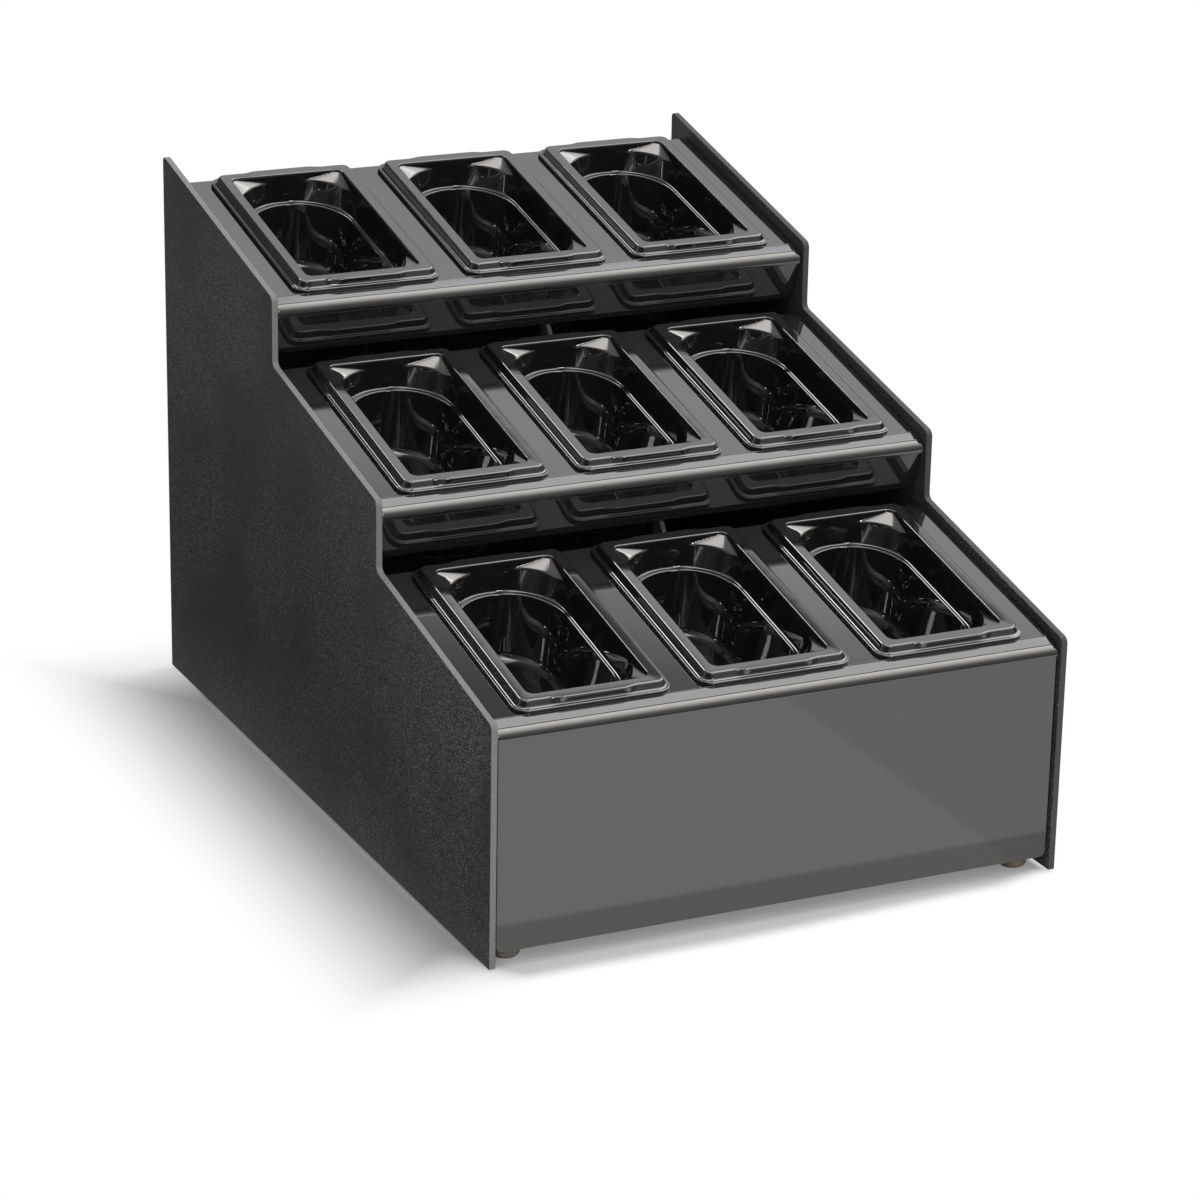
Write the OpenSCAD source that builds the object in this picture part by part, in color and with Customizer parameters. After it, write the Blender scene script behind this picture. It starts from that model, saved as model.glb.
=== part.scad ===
// Three-tier countertop condiment organizer with nine ninth-size food pans.
// Front faces -Y, +Z is up, and the origin is under the middle, where the feet stand.

/* [Cabinet] */
// Overall width over both side panels
body_w = 406; // [400:1:440]
// Height of a side panel's front edge
front_h = 161.6; // [150:0.2:180]
// Rise from one tier to the next
tier_rise = 86.8; // [84:0.2:96]
// How far the side panels run on behind the top deck
back_overhang = 28; // [24:1:50]
// Forward slope of the tiers, in degrees
tier_slope = 12.2; // [11:0.1:13]
// Height of the panel's peak at the back
peak_h = 384.6; // [380:0.2:392]
// Thickness of a side panel
panel_t = 4.5; // [3:0.5:6]
// Rounding of the panel's corners
panel_r = 4; // [2:0.5:6]

/* [Tier sheets] */
// Thickness of the bent sheets
sheet_t = 3; // [2:0.5:4]
// How far a deck lies below the panel's edge
deck_drop = 5.2; // [3:0.2:6]
// Extra tilt of the two upper decks, whose front edges hang free, in degrees
upper_tilt = 0.55; // [0:0.05:0.8]
// Gap between a sheet and each side panel
side_gap = 1.6; // [0.5:0.1:2.5]
// Setback of the bead's front from the panel's edge
bead_setback = 2; // [1:0.2:3]
// Outer radius of the bent bead
bead_r = 6.4; // [6:0.1:8]
// Setback of the flat face behind the bead
face_step = 1; // [0.4:0.2:1.6]
// Extra length of the bead at each end
bead_bulge = 0.8; // [0.2:0.1:1.2]
// Depth of the flat strip between deck and bead
strip_run = 8.4; // [6:0.2:10]
// Slope of that strip, in degrees
strip_slope = 20; // [15:1:22]
// Width of the fine crease on each side of the strip
crease_w = 0.7; // [0.4:0.1:1]
// How far a deck runs on below the next tier's front edge
deck_tuck = 3; // [2.5:0.5:6]
// Lean of the two upper risers from the vertical, in degrees
riser_lean = 19; // [14:1:20]
// Height of the slot between a riser's foot and the deck in front
slot_h = 9.3; // [7:0.1:12]
// Height of the front face's lower edge
face_bottom = 9; // [6:0.5:12]
// Rounding of the front face's lower corners
face_corner_r = 4; // [2:0.5:6]
// Depth of the flange turned down at the back
back_flange = 22; // [15:1:30]

/* [Pans] */
// Length of a pan over its lip
pan_l = 176; // [174:0.5:176]
// Width of a pan over its lip
pan_w = 108; // [106:0.5:110]
// Depth of a pan below its lip
pan_depth = 65; // [60:1:68]
// Share of the spare width that each gap between two pans takes
pan_gap_share = 0.252; // [0.2:0.001:0.27]
// Distance along a deck from its front corner to the pans' lips
lip_setback = 14.5; // [14:0.1:17]
// How far the lips reach under the next tier's bead
lip_tuck = 2.25; // [1:0.25:3]
// Height of the rim's land above the lip
rim_h = 6.8; // [6:0.2:8]
// Thickness of the lip
lip_t = 2.2; // [1.8:0.1:2.6]
// Distance from the lip's edge to the rim's wall
rim_inset = 3; // [2.4:0.1:4.5]
// How far the rim's wall leans in from foot to top
rim_lean = 2; // [1:0.2:2.4]
// Distance from the lip's long edge to the opening
open_inset_x = 12.9; // [12.4:0.1:15]
// Distance from the lip's short edge to the opening
open_inset_y = 12.2; // [11.6:0.1:14]
// Inward step from the opening to the basin
basin_step = 0.6; // [0.4:0.1:1]
// Wall thickness of a pan
pan_wall = 2.2; // [1.6:0.1:2.6]
// Depth of the inner ledge below the lip
ledge_drop = 14.8; // [12:0.2:22]
// Width of the inner ledge
ledge_w = 3.2; // [2:0.2:3.6]
// Gap under a resting lip
lip_gap = 0.3; // [0.2:0.05:0.4]
// Outward bow of the rim's short ends
end_bow = 2; // [1:0.1:2]
// Gap between a pan's body and its cut-out
cutout_gap = 2.4; // [1:0.2:3]
// Corner radius of a cut-out
cutout_r = 9; // [6:1:20]

/* [Fittings] */
// Leg of the bonded corner angles
cleat_leg = 14; // [10:1:15]
// Thickness of the angles and gussets
cleat_t = 3; // [2:0.5:3]
// Bond line between an angle and what it joins
bond = 0.2; // [0.1:0.05:0.3]
// Length of the angle under each end of a deck
deck_cleat_l = 140; // [100:5:144]
// Length of the upright angles behind the front face
face_cleat_l = 85; // [60:5:90]
// Length of the upright angles at the back
back_cleat_l = 250; // [150:10:280]
// Depth of the front and back foot rails
rail_run = 33; // [30:1:36]
// Height of the rails' upright leg
rail_leg = 26; // [20:1:30]
// Gap between a rail and the upright angle over it
upright_gap = 10; // [4:1:14]
// Diameter of a bumper foot
foot_d = 19; // [16:0.5:20]
// How far the feet lift the side panels
foot_lift = 1.5; // [1:0.5:3]
// Distance of a foot's middle from the side
foot_inset = 20; // [18:0.5:26]
// Distance of a foot's middle from the front edge
foot_setback = 21; // [19:0.5:24]
// Distance of a back foot's middle from the back panel
foot_back_inset = 18.2; // [14:0.1:20]
// Place of the small gussets right of the middle
gusset_x = 6; // [-20:1:20]
// How far a gusset reaches up its riser
gusset_reach = 14; // [10:1:16]

/* [Hidden] */
$fn = 64;
TIERS = ["front", "middle", "top"];
SIDES = ["left", "centre", "right"];

slope_rise = tan(tier_slope);
tier_depth = (lip_setback + pan_l - lip_tuck) * cos(tier_slope);
deck_run = tier_depth + deck_tuck;
deck_end = deck_run + sheet_t * sin(tier_slope + upper_tilt);
riser_drop = tier_rise - tier_depth * slope_rise + deck_drop - slot_h;
pan_middle = lip_setback + pan_l / 2;
body_d = 2 * tier_depth + deck_run + back_overhang;
inner_half = body_w / 2 - panel_t;
pan_pitch = pan_w + pan_gap_share * (2 * inner_half - 3 * pan_w);
sheet_half = inner_half - side_gap;
strip_top_y = bead_setback + bead_r * (1 - sin(strip_slope)) + strip_run;
face_back_y = bead_setback + face_step + sheet_t + bond;
back_y = 2 * tier_depth + deck_end + bond;
lip_r = 10;
rim_r = 7;
edge = 0.8;
draft = 0.055;
open_x = pan_w / 2 - open_inset_x;
open_y = pan_l / 2 - open_inset_y;
open_r = 5;
basin_x = open_x - basin_step;
basin_y = open_y - basin_step;
basin_r = 24;
fillet_r = 6;
fillet_knee = 0.29;
bow_inset = 22;
web_z = rim_h - 2;
floor_z = pan_wall - pan_depth;
cut_x = basin_x + pan_wall + cutout_gap;
cut_y = basin_y + pan_wall + cutout_gap;
rail_z = face_bottom + sheet_t / 6;
upright_z = rail_z + rail_leg + upright_gap;
foot_h = foot_lift + rail_z;
textured_black = [0.10, 0.10, 0.10];
gloss_black = [0.05, 0.05, 0.06];
clear_grey = [0.55, 0.52, 0.45];

function unit(v) = v / norm(v);
function tier_y(i) = i * tier_depth;
function tier_z(i) = front_h + i * tier_rise;
function lean(i) = i == 0 ? 0 : riser_lean;

// A deck's slope, how far its line lies below the panels' front corner, and, in the drawing
// of its side view, the top of its strip, the top of its bead and the bead's middle
function slope(i) = tier_slope + (i == 0 ? 0 : upper_tilt);
function drop(i) = deck_drop + deck_run * (tan(slope(i)) - slope_rise);
function strip_top(i) = [strip_top_y, strip_top_y * tan(slope(i)) - drop(i)];
function bead_top(i) = strip_top(i) - strip_run * [1, tan(strip_slope)];
function bead_middle(i) = bead_top(i) + bead_r * [sin(strip_slope), -cos(strip_slope)];

// Moves from the panels' front lower corner to the part's origin
module placed() {
    translate([0, -body_d / 2, foot_lift]) children();
}

// Stands a drawing of Y and Z up and gives it a width along X
module across(half) {
    translate([-half, 0, 0]) rotate([90, 0, 90]) linear_extrude(2 * half) children();
}

// The sliver between a sharp corner and its rounding
module corner_sliver(p, before, after, r) {
    a = unit(before - p);
    b = unit(after - p);
    half_angle = acos(a * b) / 2;
    run = r / tan(half_angle);
    centre = p + unit(a + b) * r / sin(half_angle);
    difference() {
        polygon([p, p + a * run, centre, p + b * run]);
        translate(centre) circle(r);
    }
}

// Stepped side profile, with outer corners rounded off and inner ones filled
module side_profile() {
    rise = tier_depth * slope_rise;
    outline = [
        [0, 0], [0, front_h],
        [tier_depth, front_h + rise], [tier_depth, tier_z(1)],
        [2 * tier_depth, tier_z(1) + rise], [2 * tier_depth, tier_z(2)],
        [body_d, peak_h], [body_d, 0]
    ];
    last = len(outline);
    difference() {
        union() {
            polygon(outline);
            for (i = [2, 4])
                corner_sliver(outline[i], outline[i - 1], outline[i + 1], panel_r);
        }
        for (i = [0, 1, 3, 5, 6, 7])
            corner_sliver(outline[i], outline[(i + last - 1) % last],
                outline[(i + 1) % last], i % 7 == 0 ? panel_r / 3 : panel_r);
    }
}

module side_panel(side) {
    color(textured_black) placed()
        translate([side * (inner_half + panel_t / 2), 0, 0]) across(panel_t / 2)
            side_profile();
}

// A straight stretch of sheet under the line from p to q
module stretch(p, q, t) {
    along = unit(q - p);
    under = [along[1], -along[0]] * t;
    polygon([p, q, q + under, p + under]);
}

// The bent bead, from the strip round to the leaning face, lapping a little onto both
module bead_profile(tier) {
    reach = 3 * bead_r;
    lap = 3;
    roll = lean(tier) + 3 * lap;
    translate(bead_middle(tier)) difference() {
        circle(bead_r);
        circle(bead_r - sheet_t - face_step / 2);
        polygon([
            [0, 0], reach * [-sin(strip_slope - lap), cos(strip_slope - lap)],
            [reach, reach], [reach, -reach],
            reach * [-cos(roll), -sin(roll)]
        ]);
    }
}

// Deck, strip and bead of a tier, drawn from the tier's corner
module bend_profile(tier) {
    deck_back = [deck_run, deck_run * slope_rise - deck_drop];
    difference() {
        union() {
            stretch(strip_top(tier), deck_back, sheet_t);
            stretch(bead_top(tier), strip_top(tier), sheet_t);
        }
        for (crease = [strip_top(tier), bead_top(tier)])
            translate(crease) rotate(45) square(crease_w, center = true);
    }
}

// Where a tier's face starts, a step behind the bead
function face_start(i) = bead_middle(i) - (bead_r - face_step) * [cos(lean(i)), sin(lean(i))];

// The upright face below the bead, down to a given height
module face_profile(tier, low_z) {
    start = face_start(tier);
    finish = [start[0] + (start[1] - low_z) * tan(lean(tier)), low_z];
    stretch(finish, start, sheet_t);
}

// Rounded lower corners of the front face, cut through it
module face_corners() {
    for (side = [-1, 1])
        translate([side * sheet_half, face_back_y + 1, face_bottom])
            mirror([side > 0 ? 1 : 0, 0, 0])
                rotate([90, 0, 0]) linear_extrude(face_back_y + 1)
                    corner_sliver([0, 0], [0, 1], [1, 0], face_corner_r);
}

// A rectangle with rounded corners
module rounded(half_x, half_y, r) {
    square([2 * half_x, 2 * (half_y - r)], center = true);
    square([2 * (half_x - r), 2 * half_y], center = true);
    for (x = [-1, 1], y = [-1, 1])
        translate([x * (half_x - r), y * (half_y - r)]) circle(r);
}

// Places its children on a deck, at its surface under a pan's middle
module on_deck(tier, x) {
    placed() translate([x, tier_y(tier), tier_z(tier) - drop(tier)])
        rotate([slope(tier), 0, 0]) translate([0, pan_middle, 0]) children();
}

module cutouts(tier) {
    punch = 2 * sheet_t;
    for (column = [-1, 0, 1])
        on_deck(tier, column * pan_pitch) translate([0, 0, -punch])
            linear_extrude(2 * punch) rounded(cut_x, cut_y, cutout_r);
}

module tier_sheet(tier) {
    low_z = tier == 0 ? face_bottom - front_h : -riser_drop;
    flange_z = deck_run * slope_rise - deck_drop;
    color(gloss_black) difference() {
        placed() {
            translate([0, tier_y(tier), tier_z(tier)]) {
                across(sheet_half) bend_profile(tier);
                across(sheet_half + bead_bulge) bead_profile(tier);
                across(sheet_half) face_profile(tier, low_z);
                if (tier == 2)
                    translate([-sheet_half, deck_end - sheet_t, flange_z - back_flange])
                        cube([2 * sheet_half, sheet_t, back_flange - sheet_t / 2]);
            }
        }
        cutouts(tier);
        if (tier == 0)
            placed() face_corners();
    }
}

// A rounded frustum: half sizes and radius at z0, each growing by grow up to z1
module tub(half_x, half_y, r, z0, z1, grow) {
    h = z1 - z0;
    for (x = [-1, 1], y = [-1, 1])
        translate([x * (half_x - r), y * (half_y - r), z0])
            cylinder(h = h, r1 = r, r2 = r + grow);
    translate([0, half_y - r, z0]) rotate([90, 0, 0]) linear_extrude(2 * (half_y - r))
        polygon([[-half_x, 0], [half_x, 0], [half_x + grow, h], [-half_x - grow, h]]);
    translate([r - half_x, 0, z0]) rotate([90, 0, 90]) linear_extrude(2 * (half_x - r))
        polygon([[-half_y, 0], [half_y, 0], [half_y + grow, h], [-half_y - grow, h]]);
}

// The basin's space, or its outer skin when grown by a wall. Every wall has draft, and
// two straight bends, each with its start, end, inset and growth, stand for the floor's fillet
module basin(skin, top) {
    upper_h = top + ledge_drop + skin;
    upper_in = draft * upper_h;
    x1 = basin_x - upper_in + skin;
    y1 = basin_y - upper_in + skin;
    tub(x1, y1, basin_r - upper_in + skin, -ledge_drop - skin, top, upper_in);
    x2 = x1 - ledge_w;
    y2 = y1 - ledge_w;
    fillet = fillet_r + skin / 2;
    knee = fillet * fillet_knee;
    low = floor_z - skin;
    lower_h = -ledge_drop - skin - low - fillet;
    lower_in = draft * lower_h;
    r2 = x2 - lower_in - 0.5;
    tub(x2 - lower_in, y2 - lower_in, r2, low + fillet, 0.5 - ledge_drop - skin, lower_in);
    bends = [[0, knee, fillet, fillet - knee], [knee, fillet, knee, knee]];
    for (bend = bends) {
        inset = lower_in + bend[2];
        tub(x2 - inset, y2 - inset, r2 - bend[2], low + bend[0], low + bend[1], bend[3]);
    }
}

// One moulded pan, with its lip's underside at z = 0
module pan_body() {
    wall_x = pan_w / 2 - rim_inset;
    wall_y = pan_l / 2 - rim_inset;
    difference() {
        union() {
            tub(pan_w / 2, pan_l / 2, lip_r, 0, lip_t - edge, 0);
            tub(pan_w / 2, pan_l / 2, lip_r, lip_t - edge, lip_t, -edge);
            tub(wall_x, wall_y, rim_r, lip_t, rim_h - edge, -rim_lean);
            tub(wall_x - rim_lean, wall_y - rim_lean, rim_r - rim_lean, rim_h - edge, rim_h, -edge);
            tub(wall_x - bow_inset, wall_y - rim_lean + end_bow, end_bow, lip_t, rim_h - edge, 0);
            basin(pan_wall, 0.5);
        }
        tub(open_x, open_y, open_r, web_z, rim_h + 0.1, 0.5);
        basin(0, web_z + 0.1);
        difference() {
            tub(wall_x - pan_wall, wall_y - pan_wall, open_r, -1, web_z - pan_wall, -edge);
            tub(basin_x + pan_wall, basin_y + pan_wall, basin_r + pan_wall, -2, rim_h, 0);
        }
    }
}

module pan(tier, column) {
    color(gloss_black) on_deck(tier, column * pan_pitch)
        translate([0, 0, lip_gap]) pan_body();
}

// Angle that joins a deck's underside to a side panel
module deck_cleat(tier, side) {
    color(textured_black) on_deck(tier, 0) mirror([side < 0 ? 0 : 1, 0, 0])
        translate([bond - inner_half, -deck_cleat_l / 2, -sheet_t - cleat_t - bond]) {
            cube([cleat_leg, deck_cleat_l, cleat_t]);
            translate([0, 0, cleat_t - cleat_leg]) cube([cleat_t, deck_cleat_l, cleat_leg]);
        }
}

// Upright angle in the corner of a side panel and a sheet at y, turned to its other side by flip
module corner_angle(side, y, flip, length) {
    color(textured_black) placed() mirror([side < 0 ? 0 : 1, 0, 0])
        translate([bond - inner_half, y, upright_z]) mirror([0, flip, 0]) {
            cube([cleat_leg, cleat_t, length]);
            cube([cleat_t, cleat_leg, length]);
        }
}

// Rail between the side panels that carries two feet, along a sheet at y
module foot_rail(y, flip) {
    half = inner_half - bond;
    color(textured_black) placed()
        translate([-half, y, rail_z]) mirror([0, flip, 0]) {
            cube([2 * half, rail_run, cleat_t]);
            cube([2 * half, cleat_t, rail_leg]);
        }
}

// Sheet that closes the back, behind the top tier's flange
module back_panel() {
    half = inner_half - bond;
    top = tier_z(2) + deck_run * slope_rise - deck_drop - 1;
    color(textured_black) placed()
        translate([-half, back_y, face_bottom]) cube([2 * half, sheet_t, top - face_bottom]);
}

// Small plate that ties a riser's foot to the deck in front of it
module gusset(tier) {
    back = [cos(riser_lean), sin(riser_lean)];
    up = [-sin(riser_lean), cos(riser_lean)];
    foot = face_start(tier) - up * (face_start(tier)[1] + riser_drop) / cos(riser_lean);
    heel = foot + back * (sheet_t + bond);
    tread = [deck_run - tier_depth, deck_run * slope_rise - deck_drop - tier_rise];
    tread_slope = slope(tier - 1);
    under = tread + (sheet_t + bond) * [sin(tread_slope), -cos(tread_slope)];
    seat = 3 * bond;
    color(textured_black) placed() translate([gusset_x, tier_y(tier), tier_z(tier)])
        across(cleat_t / 2) polygon([
            under - 5 * [1, tan(tread_slope)], under,
            foot - [1, seat], heel - seat * up, heel + gusset_reach * up,
            heel + gusset_reach * [0.6, -0.6], under + gusset_reach * [0.4, -0.9]
        ]);
}

// Domed bumper foot at a place on the floor
module foot(x, y) {
    r = foot_d / 2;
    toe = 0.4 * r;
    color(clear_grey)
        translate([x, y, 0])
            rotate_extrude() {
                translate([0, toe]) square([r, foot_h - toe]);
                square([r - toe, foot_h]);
                intersection() {
                    translate([r - toe, toe]) circle(toe);
                    square([r, toe + 1]);
                }
            }
}

side_panel(-1);  // side_panel_left
side_panel(1);  // side_panel_right
for (tier = [0:2]) {
    tier_sheet(tier);
    for (column = [0:2])
        pan(tier, column - 1);
    deck_cleat(tier, -1);
    deck_cleat(tier, 1);
}
for (end = [-1, 1]) {
    side_name = end < 0 ? "left" : "right";
    foot_x = end * (body_w / 2 - foot_inset);
    corner_angle(end, face_back_y, 0, face_cleat_l);
    corner_angle(end, back_y - bond, 1, back_cleat_l);
    foot(foot_x, foot_setback - body_d / 2);
    foot(foot_x, back_y - foot_back_inset - body_d / 2);
}
back_panel();
foot_rail(face_back_y, 0);  // rail_front
foot_rail(back_y - bond, 1);  // rail_back
gusset(1);  // gusset_middle
gusset(2);  // gusset_top
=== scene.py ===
# %% [markdown]
# This lesson dresses a stepped condiment organizer: black plastic sheets bent into three
# sloping decks, held between two textured side panels, with nine moulded food pans hanging in them.
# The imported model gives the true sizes, so it is loaded first and every new piece is built to it.

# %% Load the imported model
import math

import bmesh
import bpy
from mathutils import Matrix, Vector


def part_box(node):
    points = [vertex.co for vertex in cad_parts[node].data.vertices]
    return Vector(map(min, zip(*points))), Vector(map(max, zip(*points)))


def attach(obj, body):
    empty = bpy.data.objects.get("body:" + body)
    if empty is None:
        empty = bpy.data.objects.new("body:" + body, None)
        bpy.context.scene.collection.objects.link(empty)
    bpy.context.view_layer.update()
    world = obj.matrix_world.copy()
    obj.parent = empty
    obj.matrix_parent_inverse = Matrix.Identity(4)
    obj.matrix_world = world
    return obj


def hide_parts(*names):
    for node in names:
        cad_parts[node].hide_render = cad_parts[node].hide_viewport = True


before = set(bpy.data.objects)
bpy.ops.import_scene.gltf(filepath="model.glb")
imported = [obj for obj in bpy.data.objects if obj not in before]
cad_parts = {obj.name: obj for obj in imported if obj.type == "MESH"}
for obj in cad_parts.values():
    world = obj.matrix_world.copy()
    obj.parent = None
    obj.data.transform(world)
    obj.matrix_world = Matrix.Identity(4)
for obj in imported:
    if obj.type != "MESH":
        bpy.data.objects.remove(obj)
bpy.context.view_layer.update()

# %% [markdown]
# Sizes are written once, in metres, with the names that a maker of this stand would use.
# Three tiers repeat, each one tier depth further back and one rise higher than the last.

# %% Sizes of the stand
MM = 0.001
WIDTH = 406 * MM
PANEL = 4.5 * MM
SLOPE = math.radians(12.2)
LIP_SETBACK = 14.5 * MM
PAN_LENGTH = 176 * MM
PAN_WIDTH = 108 * MM
LIP_TUCK = 2.25 * MM
TIER_DEPTH = (LIP_SETBACK + PAN_LENGTH - LIP_TUCK) * math.cos(SLOPE)
TIER_RISE = 86.8 * MM
FRONT_HEIGHT = 161.6 * MM
DECK_DROP = 5.2 * MM
UPPER_TILT = math.radians(0.55)
DECK_TUCK = 3 * MM
DECK_RUN = TIER_DEPTH + DECK_TUCK
BACK_OVERHANG = 28 * MM
DEPTH = 2 * TIER_DEPTH + DECK_RUN + BACK_OVERHANG
PEAK = 384.6 * MM
FOOT_LIFT = 1.5 * MM
INNER_HALF = WIDTH / 2 - PANEL
GAP_SHARE = 0.252
PITCH = PAN_WIDTH + GAP_SHARE * (2 * INNER_HALF - 3 * PAN_WIDTH)
TIERS = ["front", "middle", "top"]
COLUMNS = ["left", "centre", "right"]


def corner_of(tier):
    """The front corner of a tier on the side panels' edge line."""
    return Vector((0, tier * TIER_DEPTH - DEPTH / 2, FRONT_HEIGHT + tier * TIER_RISE + FOOT_LIFT))


def slope(tier):
    """The slope of a deck; the two upper ones tilt a little more than the front one."""
    return SLOPE + (UPPER_TILT if tier else 0.0)


def drop(tier):
    """How far a deck's line lies below the tier's front corner."""
    return DECK_DROP + DECK_RUN * (math.tan(slope(tier)) - math.tan(SLOPE))


print("tier corners at", [tuple(round(c, 4) for c in corner_of(t)) for t in range(3)])

# %% [markdown]
# Each new piece ends the same way: its bmesh becomes a mesh at the origin, shaded smooth,
# with normals weighted by face area so that flat faces stay flat right up to their fine bevels.
# Then it rides on the body that carries it and stands in for the plain solid of the same name.

# %% A helper that finishes a piece
made_faces = {}
EDGE_ANGLE = 40


def finish_piece(bm, node, body, material, bevel=0.0):
    """Turns a bmesh into the dressed piece that replaces one node of the solid model."""
    bmesh.ops.recalc_face_normals(bm, faces=bm.faces[:])
    mesh = bpy.data.meshes.new(node + "_form")
    bm.to_mesh(mesh)
    bm.free()
    for face in mesh.polygons:
        face.use_smooth = True
    mesh.materials.append(material)
    piece = bpy.data.objects.new(node + "_form", mesh)
    bpy.context.scene.collection.objects.link(piece)
    if bevel:
        rounding = piece.modifiers.new("edges", "BEVEL")
        rounding.width = bevel
        rounding.segments = 2
        rounding.limit_method = "ANGLE"
        rounding.angle_limit = math.radians(EDGE_ANGLE)
    normals = piece.modifiers.new("flat faces", "WEIGHTED_NORMAL")
    normals.mode = "FACE_AREA"
    normals.weight = 100
    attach(piece, body)
    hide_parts(node)
    made_faces[node] = len(mesh.polygons)


print("edges that turn by more than", EDGE_ANGLE, "degrees get a fine bevel where one is asked for")

# %% [markdown]
# Material nodes are easier to read as sums. Wire holds one output socket, and Python's
# arithmetic on it adds Math nodes to the material that the socket belongs to.

# %% A wire that takes part in sums
class Wire:
    """An output socket that takes part in sums."""

    def __init__(self, finish, socket):
        self.finish = finish
        self.socket = socket

    def __add__(self, other):
        return self.finish.maths("ADD", self, other)

    __radd__ = __add__

    def __mul__(self, other):
        return self.finish.maths("MULTIPLY", self, other)

    __rmul__ = __mul__

    def __sub__(self, other):
        return self.finish.maths("SUBTRACT", self, other)

    def __rsub__(self, other):
        return self.finish.maths("SUBTRACT", other, self)

    def __gt__(self, other):
        return self.finish.maths("GREATER_THAN", self, other)

    def __lt__(self, other):
        return self.finish.maths("LESS_THAN", self, other)

    def __abs__(self):
        return self.finish.maths("ABSOLUTE", self)

    def ramp(self, low, high, to_low=0.0, to_high=1.0):
        """Follows a smooth step from one value to another."""
        return self.finish.node(
            "ShaderNodeMapRange", {"interpolation_type": "SMOOTHSTEP"},
            {"Value": self, "From Min": low, "From Max": high, "To Min": to_low, "To Max": to_high})


print("a wire takes part in +, -, *, <, > and abs, and can follow a ramp")

# %% [markdown]
# Finish holds a material or a world. It adds any node from its type, settings and inputs, and it
# has short names for the few kinds that this lesson repeats.

# %% A material or world in a few lines
class Finish:
    """A material or world built from a few readable lines."""

    def __init__(self, name, owner=None):
        self.block = owner or bpy.data.materials.new(name)
        self.block.use_nodes = True
        self.tree = self.block.node_tree
        self.shader = self.tree.nodes.get("Principled BSDF")

    def node(self, kind, settings=None, inputs=None, output=0):
        made = self.tree.nodes.new(kind)
        for key, value in (settings or {}).items():
            setattr(made, key, value)
        for key, value in (inputs or {}).items():
            self.feed(made.inputs[key], value)
        return Wire(self, made.outputs[output])

    def feed(self, socket, value):
        if isinstance(value, Wire):
            self.tree.links.new(value.socket, socket)
        else:
            socket.default_value = value

    def maths(self, operation, first, second=0.0):
        return self.node("ShaderNodeMath", {"operation": operation}, {0: first, 1: second})

    def mix(self, factor, first, second):
        """Blends two colours."""
        return self.node("ShaderNodeMix", {"data_type": "RGBA"},
                         {0: factor, 6: first, 7: second}, 2)

    def place(self):
        """Object coordinates, which stay with a piece when it moves."""
        return self.node("ShaderNodeTexCoord", output="Object")

    def axis(self, name):
        """One object coordinate as a number."""
        return self.node("ShaderNodeSeparateXYZ", None, {0: self.place()}, name)

    def noise(self, scale, detail, rough=0.5):
        """A soft random pattern with this many waves to the metre."""
        return self.node(
            "ShaderNodeTexNoise", {"noise_dimensions": "3D"},
            {"Vector": self.place(), "Scale": scale, "Detail": detail, "Roughness": rough})

    def bump(self, height, distance, strength):
        """Tilts the normal as if the surface had this height."""
        return self.node("ShaderNodeBump", None,
                         {"Height": height, "Distance": distance, "Strength": strength})

    def set(self, **values):
        """Sets the shader's own sockets, such as base_color or roughness."""
        for key, value in values.items():
            self.feed(self.shader.inputs[key.replace("_", " ").title()], value)


def grey(level, warm=0.0):
    """A near-neutral colour, a little warmer or cooler."""
    return (level * (1 + warm), level, level * (1 - warm), 1)


print("a plain grey is", grey(0.5))

# %% [markdown]
# The side panels are black sheet with a fine leathery grain on both faces, and sawn edges that
# were scraped smooth; their paler grey is a painted sheen. Real pebbles in the mesh would need
# millions of faces, so the grain is a noise of about a millimetre used as bump. Pale flecks on its
# tips are painted glints, for the light that they catch. They lie in patches, mostly towards the
# front, and the sheet is painted paler higher up, as light falls across it. Grain and flecks are
# masked off where X lies between the two faces of a panel. The sawn edges' painted sheen is paler
# on the left panel than on the right one.

# %% Grained black for the side panels
grained = Finish("grained_black")
FACE_SKIN = 0.25 * MM
OUTER_SKIN, OUTER_BLEND = 0.3 * MM, 0.15 * MM
across = abs(grained.axis("X"))
inside_outer = across.ramp(WIDTH / 2 - OUTER_BLEND, WIDTH / 2 - OUTER_SKIN)
sawn_edge = (across > INNER_HALF + FACE_SKIN) * inside_outer
pebbles = grained.noise(820, 3.0, 0.6)
speckle = grained.noise(2000, 0.0, 0.5)
# Where the painted glints lie: in patches, and more towards the front.
glint_patches = grained.noise(9, 1.0, 0.5).ramp(0.35, 0.6, 0.35, 1.0)
glints_towards_front = grained.axis("Y").ramp(-0.29, 0.02, 1.0, 0.45)
# Painted light: the sheet is painted paler higher up and darker low down.
painted_light_by_height = grained.axis("Z").ramp(0.05, 0.33, 0.5, 1.0)
# Painted glints: pale flecks on the grain's tips, for the light that they catch.
painted_glints = speckle.ramp(0.60, 0.67) * pebbles.ramp(0.45, 0.55) * glints_towards_front * glint_patches
# Painted sheen on the sawn edges, paler on the left panel than on the right one as painted light
# and shade.
painted_edge_level = grained.axis("X").ramp(-0.2, 0.2, 0.28, 0.09)
painted_edge_sheen = grained.node("ShaderNodeCombineXYZ", None,
                         {0: painted_edge_level, 1: painted_edge_level, 2: painted_edge_level})
# The sheet's colour, with painted shade low down and painted light higher up.
painted_height_shade = grained.mix(painted_light_by_height, grey(0.010, 0.02), grey(0.075, 0.01))
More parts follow.
